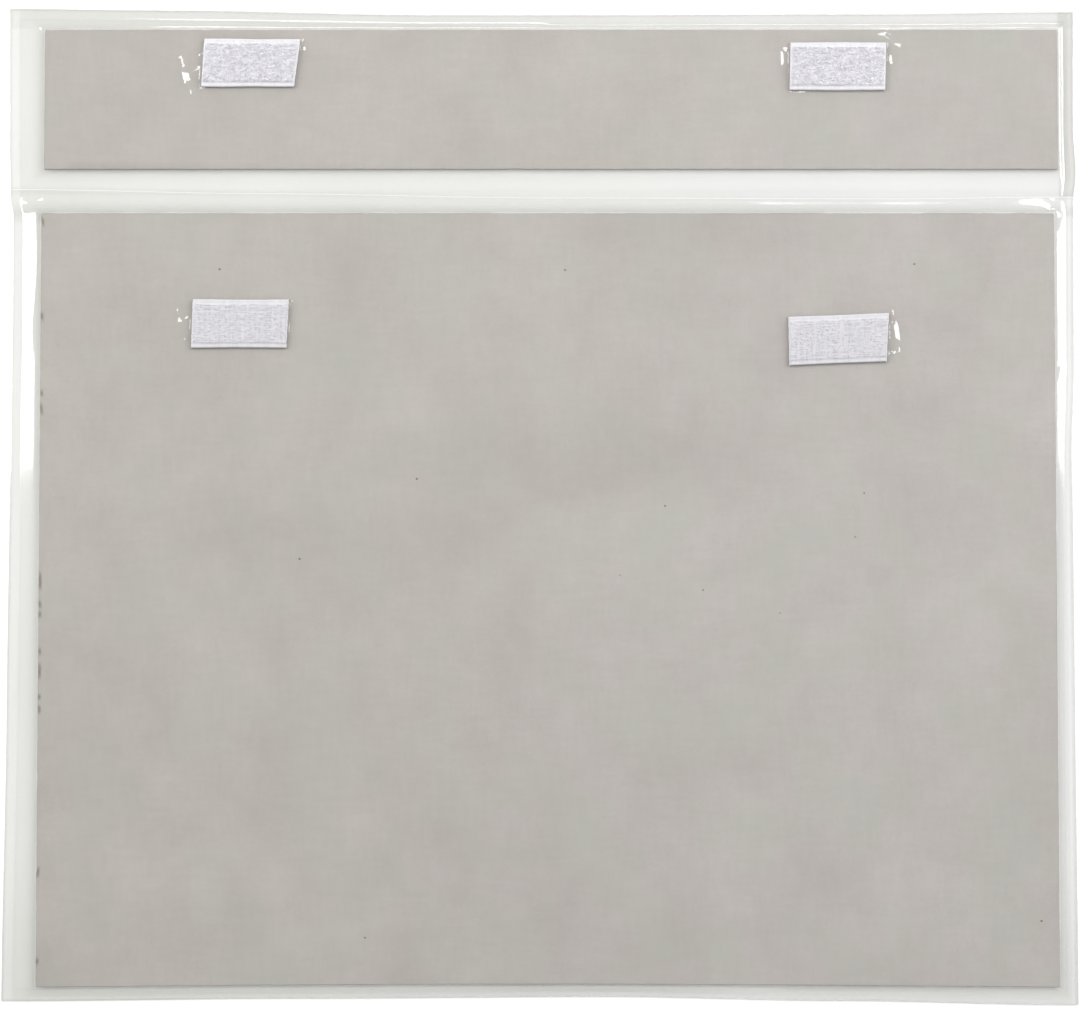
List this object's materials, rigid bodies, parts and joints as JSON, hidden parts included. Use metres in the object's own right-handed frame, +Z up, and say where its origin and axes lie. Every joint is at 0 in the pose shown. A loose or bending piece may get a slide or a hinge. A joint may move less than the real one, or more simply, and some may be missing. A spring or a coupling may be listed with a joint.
{
  "type": "clear portfolio folder",
  "caption": "Flat clear vinyl portfolio with a wide pocket, a fold-over flap, grey chipboard stiffeners inside both and hook-and-loop pads that close it, lying open.",
  "frame": {"origin": "middle of the open folder's outline, on the surface it lies on", "axes": "+X to the right and +Y towards the flap's outer edge, as seen from above; +Z up, out of the sheet"},
  "size_m": [0.4258, 0.3956, 0.0044],
  "materials": {
    "clear_film_back": "clear soft vinyl film, back sheet",
    "clear_film_front": "clear soft vinyl film, polished",
    "greyboard": "matt grey chipboard with fibres and specks",
    "loop_tape": "soft brushed nylon loops, white",
    "hook_tape": "stiff woven nylon hooks, white"
  },
  "bodies": {
    "root": {"back_sheet": "clear_film_back", "pocket_sheet": "clear_film_front", "flap_sheet": "clear_film_front", "body_board": "greyboard", "flap_board": "greyboard", "loop_tape_left": "loop_tape", "loop_tape_right": "loop_tape", "hook_tape_left": "hook_tape", "hook_tape_right": "hook_tape"}
  },
  "joints": []
}
